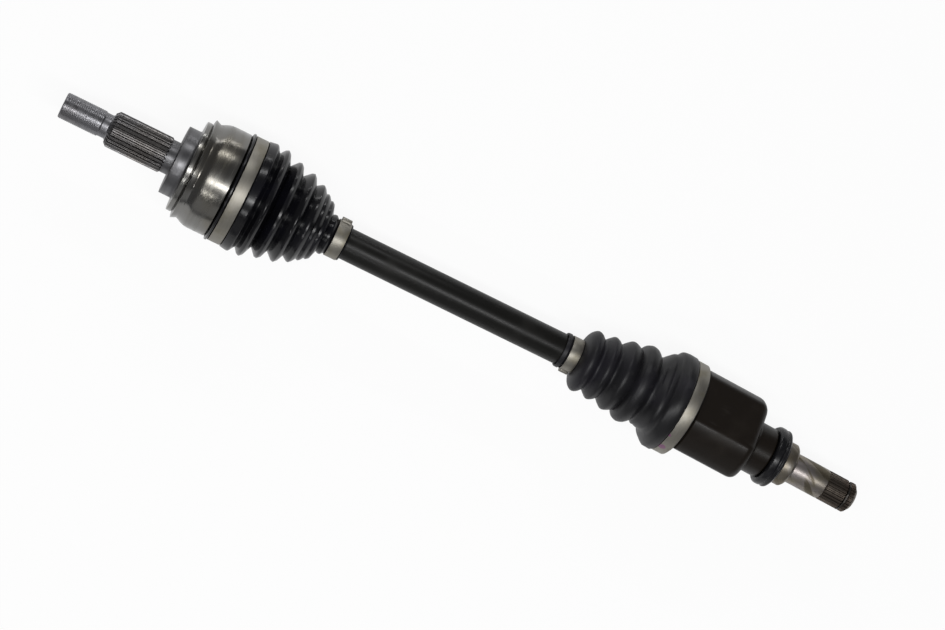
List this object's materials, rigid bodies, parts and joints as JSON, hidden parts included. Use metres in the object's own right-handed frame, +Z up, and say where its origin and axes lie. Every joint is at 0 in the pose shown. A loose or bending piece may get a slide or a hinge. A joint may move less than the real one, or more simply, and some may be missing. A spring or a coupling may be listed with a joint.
{
  "type": "cv axle",
  "caption": "Car drive half-shaft: a threaded, splined ball joint and a plunging tripod joint on one shaft, each under a clamped rubber boot.",
  "frame": {"origin": "centre of the axle's bounding box, half-way along it on the shaft's axis", "axes": "+X along the shaft from the threaded wheel end to the gearbox end, +Z up"},
  "size_m": [0.6866, 0.0894, 0.0894],
  "materials": {
    "ground_steel": "ground and polished",
    "bearing_steel": "polished",
    "hardened_steel": "hardened, satin",
    "stainless_band": "brushed",
    "spring_steel": "oiled, dark",
    "black_paint": "satin black",
    "boot_plastic": "glossy black",
    "boot_rubber": "matte black"
  },
  "bodies": {
    "shaft": {"intermediate_shaft": "black_paint", "inner_race": "hardened_steel", "inner_race_circlip": "spring_steel", "spider": "hardened_steel", "spider_circlip": "spring_steel", "roller_washer_1": "hardened_steel", "roller_washer_2": "hardened_steel", "roller_washer_3": "hardened_steel", "roller_clip_1": "spring_steel", "roller_clip_2": "spring_steel", "roller_clip_3": "spring_steel", "outer_boot_small_clamp": "stainless_band", "inner_boot_small_clamp": "stainless_band"},
    "ball_cage": {"ball_cage": "hardened_steel", "ball_1": "bearing_steel", "ball_2": "bearing_steel", "ball_3": "bearing_steel", "ball_4": "bearing_steel", "ball_5": "bearing_steel", "ball_6": "bearing_steel"},
    "bell": {"outer_race": "ground_steel", "outer_boot": "boot_plastic", "outer_boot_large_clamp": "stainless_band"},
    "inner_boot": {"inner_boot": "boot_rubber"},
    "tripod_housing": {"tripod_housing": "black_paint", "inner_boot_large_clamp": "stainless_band", "dust_ring": "boot_rubber", "stub_circlip": "spring_steel"},
    "roller_1": {"roller_1": "bearing_steel", "needle_set_1": "bearing_steel"},
    "roller_2": {"roller_2": "bearing_steel", "needle_set_2": "bearing_steel"},
    "roller_3": {"roller_3": "bearing_steel", "needle_set_3": "bearing_steel"}
  },
  "joints": [
    {"name": "cage_tilt", "type": "hinge", "parent": "shaft", "child": "ball_cage", "pos_m": [-0.2036, 0, 0], "axis": [0, 0, 1], "range_deg": [-22.5, 22.5], "deforming": ["outer_boot"]},
    {"name": "bell_tilt", "type": "hinge", "parent": "ball_cage", "child": "bell", "pos_m": [-0.2036, 0, 0], "axis": [0, 0, 1], "range_deg": [-22.5, 22.5], "deforming": ["outer_boot"]},
    {"name": "housing_tilt", "type": "hinge", "parent": "shaft", "child": "inner_boot", "pos_m": [0.1884, 0, 0], "axis": [0, 0, 1], "range_deg": [-11.9, 16.1], "deforming": ["inner_boot"]},
    {"name": "housing_plunge", "type": "slide", "parent": "inner_boot", "child": "tripod_housing", "axis": [0.9993, -0.0366, 0], "range_m": [-0.018, 0.008], "deforming": ["inner_boot"]},
    {"name": "roller_spin_1", "type": "hinge", "parent": "shaft", "child": "roller_1", "pos_m": [0.1884, 0, 0], "axis": [0, 1, 0], "range_deg": [-90, 90]},
    {"name": "roller_spin_2", "type": "hinge", "parent": "shaft", "child": "roller_2", "pos_m": [0.1884, 0, 0], "axis": [0, -0.5, 0.866], "range_deg": [-90, 90]},
    {"name": "roller_spin_3", "type": "hinge", "parent": "shaft", "child": "roller_3", "pos_m": [0.1884, 0, 0], "axis": [0, -0.5, -0.866], "range_deg": [-90, 90]}
  ],
  "couplings": [
    {"joint": "bell_tilt", "follows": "cage_tilt", "ratio": 1},
    {"joint": "roller_spin_1", "follows": "housing_plunge", "rad_per_m": 66.667},
    {"joint": "roller_spin_2", "follows": "housing_plunge", "rad_per_m": 66.667},
    {"joint": "roller_spin_3", "follows": "housing_plunge", "rad_per_m": 66.667}
  ]
}
